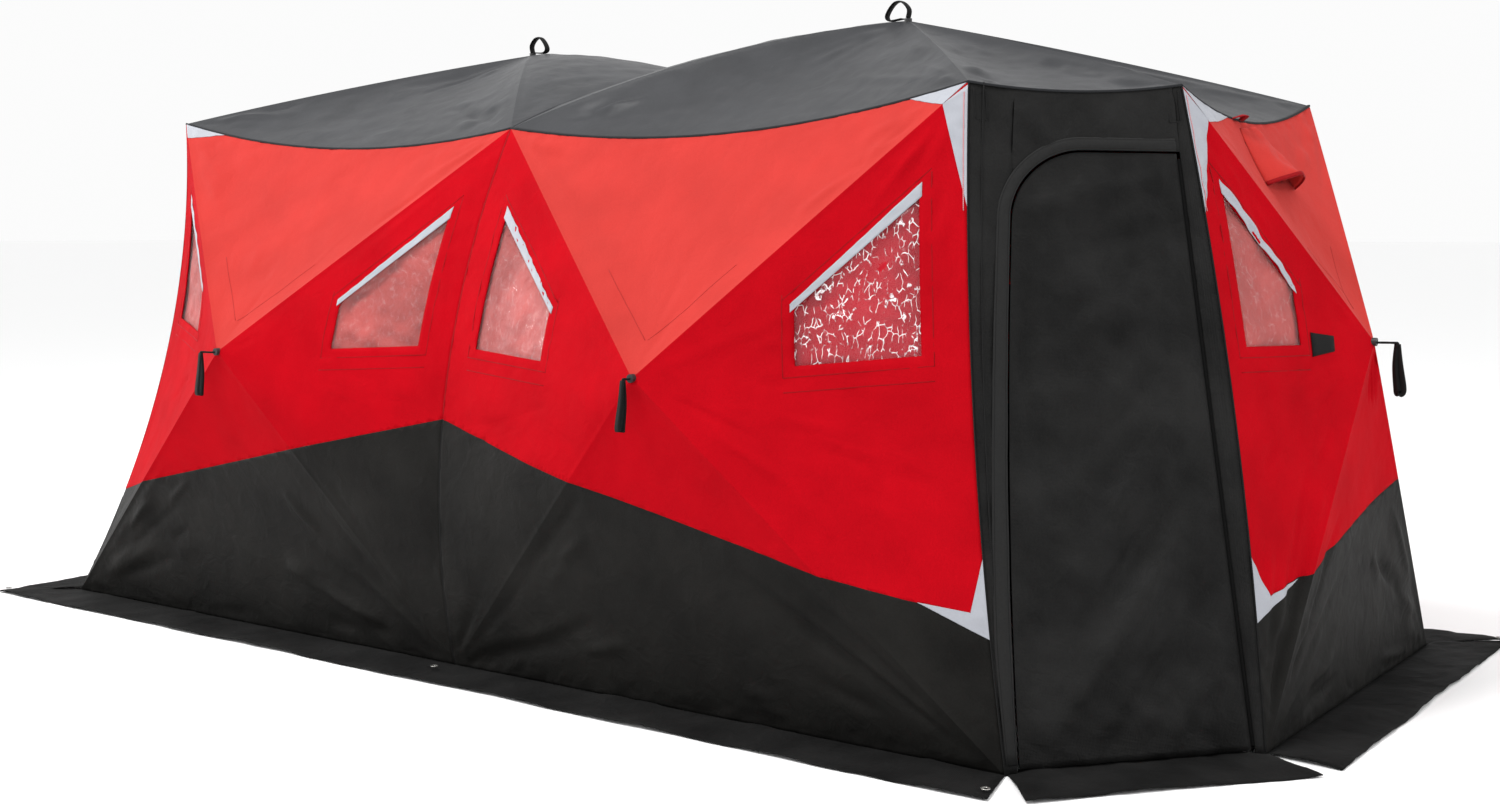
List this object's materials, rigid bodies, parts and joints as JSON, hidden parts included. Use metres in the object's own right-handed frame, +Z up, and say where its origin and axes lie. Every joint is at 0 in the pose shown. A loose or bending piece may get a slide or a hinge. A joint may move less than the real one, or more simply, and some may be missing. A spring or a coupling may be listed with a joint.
{
  "type": "ice fishing hut",
  "caption": "Pop-up hub shelter for ice fishing: two-dome quilted fabric hut with a hinged corner door, windows, vents, poles and a floor skirt.",
  "frame": {"origin": "middle of the plan at floor level, on the axis of the half turn that maps the shelter onto itself", "axes": "+X along the long walls towards the end beside the opening door, +Y towards the back wall, +Z up"},
  "size_m": [4.87, 2.5266, 2.1002],
  "materials": {
    "roof_fabric": "matte",
    "upper_fabric": "matte",
    "side_fabric": "matte",
    "lower_fabric": "matte",
    "window_vinyl": "glossy",
    "reflective_tape": "satin",
    "door_canvas": "matte",
    "zip_cover": "matte",
    "pole": "satin",
    "hub": "satin",
    "webbing": "matte",
    "skirt_fabric": "matte"
  },
  "bodies": {
    "shelter": {"roof_right_dome": "roof_fabric", "roof_left_dome": "roof_fabric", "front_left_upper_panel": "upper_fabric", "front_left_side_panels": "side_fabric", "front_left_lower_panels": "lower_fabric", "front_right_upper_panel": "upper_fabric", "front_right_side_panels": "side_fabric", "front_right_lower_panels": "lower_fabric", "right_end_upper_panel": "upper_fabric", "right_end_side_panels": "side_fabric", "right_end_lower_panels": "lower_fabric", "back_right_upper_panel": "upper_fabric", "back_right_side_panels": "side_fabric", "back_right_lower_panels": "lower_fabric", "back_left_upper_panel": "upper_fabric", "back_left_side_panels": "side_fabric", "back_left_lower_panels": "lower_fabric", "left_end_upper_panel": "upper_fabric", "left_end_side_panels": "side_fabric", "left_end_lower_panels": "lower_fabric", "front_windows": "window_vinyl", "back_windows": "window_vinyl", "end_windows": "window_vinyl", "window_reflective_strips": "reflective_tape", "right_door_surround": "door_canvas", "right_door_zip_band": "zip_cover", "right_door_hinge_seam": "zip_cover", "left_door_surround": "door_canvas", "left_door_flap": "door_canvas", "left_door_zip_band": "zip_cover", "left_door_hinge_seam": "zip_cover", "wall_poles": "pole", "roof_poles": "pole", "wall_hubs": "hub", "roof_hubs": "hub", "corner_knuckles": "hub", "hub_bolt_caps": "hub", "wall_pull_straps": "webbing", "roof_pull_loops": "webbing", "reflective_patches": "reflective_tape", "end_vent_hoods": "upper_fabric", "long_wall_skirts": "skirt_fabric", "end_wall_skirts": "skirt_fabric", "door_skirts": "skirt_fabric"},
    "door": {"right_door_flap": "door_canvas"}
  },
  "joints": [
    {"name": "door_hinge", "type": "hinge", "parent": "shelter", "child": "door", "pos_m": [2.19068, -0.49658, 0.02649], "axis": [-0.1941, 0.0973, 0.9761], "range_deg": [0, 115]}
  ]
}
